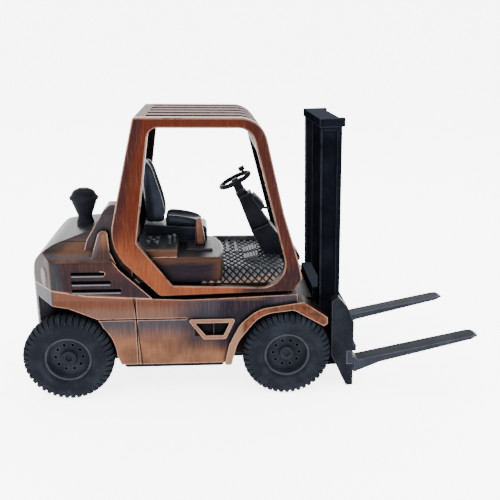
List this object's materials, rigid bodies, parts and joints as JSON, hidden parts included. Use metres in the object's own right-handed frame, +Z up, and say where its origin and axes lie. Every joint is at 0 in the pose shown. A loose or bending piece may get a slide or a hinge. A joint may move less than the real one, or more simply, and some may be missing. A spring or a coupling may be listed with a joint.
{
  "type": "toy forklift truck",
  "caption": "Die-cast miniature forklift with an overhead guard, a driver's seat, an upright mast, a fork carriage that slides up it and rolling wheels.",
  "frame": {"origin": "on the ground under the middle of the overall length and width, the truck standing on its four wheels", "axes": "+X forward to the fork tips, +Y to the driver's left, +Z up"},
  "size_m": [0.1112, 0.036, 0.067],
  "materials": {
    "copper_casting": "antique copper plating, brushed, dark in the recesses",
    "dark_casting": "dark patina with copper showing at the edges",
    "black_plastic": "satin black moulding",
    "black_mast": "black coated, satin",
    "tyre": "matt black rubber",
    "steel": "dull steel"
  },
  "bodies": {
    "chassis": {"chassis_casting": "copper_casting", "counterweight": "copper_casting", "guard_side_right": "copper_casting", "guard_side_left": "copper_casting", "guard_roof": "copper_casting", "console": "dark_casting", "control_panel": "dark_casting", "hand_lever": "dark_casting", "cab_floor": "dark_casting", "foot_pedals": "dark_casting", "seat_base": "black_plastic", "seat_cushion": "black_plastic", "seat_back": "black_plastic", "air_intake": "black_plastic", "base_plate": "black_plastic", "instrument_pod": "black_plastic", "steering_column": "black_plastic", "panel_knobs": "black_plastic", "tail_lamps": "black_plastic", "mast_rail_right": "black_mast", "mast_rail_left": "black_mast", "mast_top_plate": "black_mast", "mast_bracket": "black_mast", "mast_cylinder": "black_mast", "mast_screws": "steel", "base_screws": "steel"},
    "steering": {"steering_wheel": "black_plastic", "spinner_knob": "black_plastic"},
    "carriage": {"fork_carriage": "black_mast", "fork_right": "black_mast", "fork_left": "black_mast"},
    "rear_wheels": {"rear_axle": "steel", "rear_tyre_right": "tyre", "rear_tyre_left": "tyre", "rear_rim_right": "black_plastic", "rear_rim_left": "black_plastic"},
    "front_wheels": {"front_axle": "steel", "front_tyre_right": "tyre", "front_tyre_left": "tyre", "front_rim_right": "black_plastic", "front_rim_left": "black_plastic"}
  },
  "joints": [
    {"name": "fork_lift", "type": "slide", "parent": "chassis", "child": "carriage", "axis": [-0.0349, 0, 0.9994], "range_m": [0, 0.04]},
    {"name": "rear_wheels_spin", "type": "hinge", "parent": "chassis", "child": "rear_wheels", "pos_m": [-0.04495, 0, 0.0107], "axis": [0, 1, 0], "continuous": true},
    {"name": "front_wheels_spin", "type": "hinge", "parent": "chassis", "child": "front_wheels", "pos_m": [0.00705, 0, 0.0107], "axis": [0, 1, 0], "continuous": true},
    {"name": "steering_turn", "type": "hinge", "parent": "chassis", "child": "steering", "pos_m": [-0.00465, 0.004, 0.0492], "axis": [-0.454, 0, 0.891], "continuous": true}
  ]
}
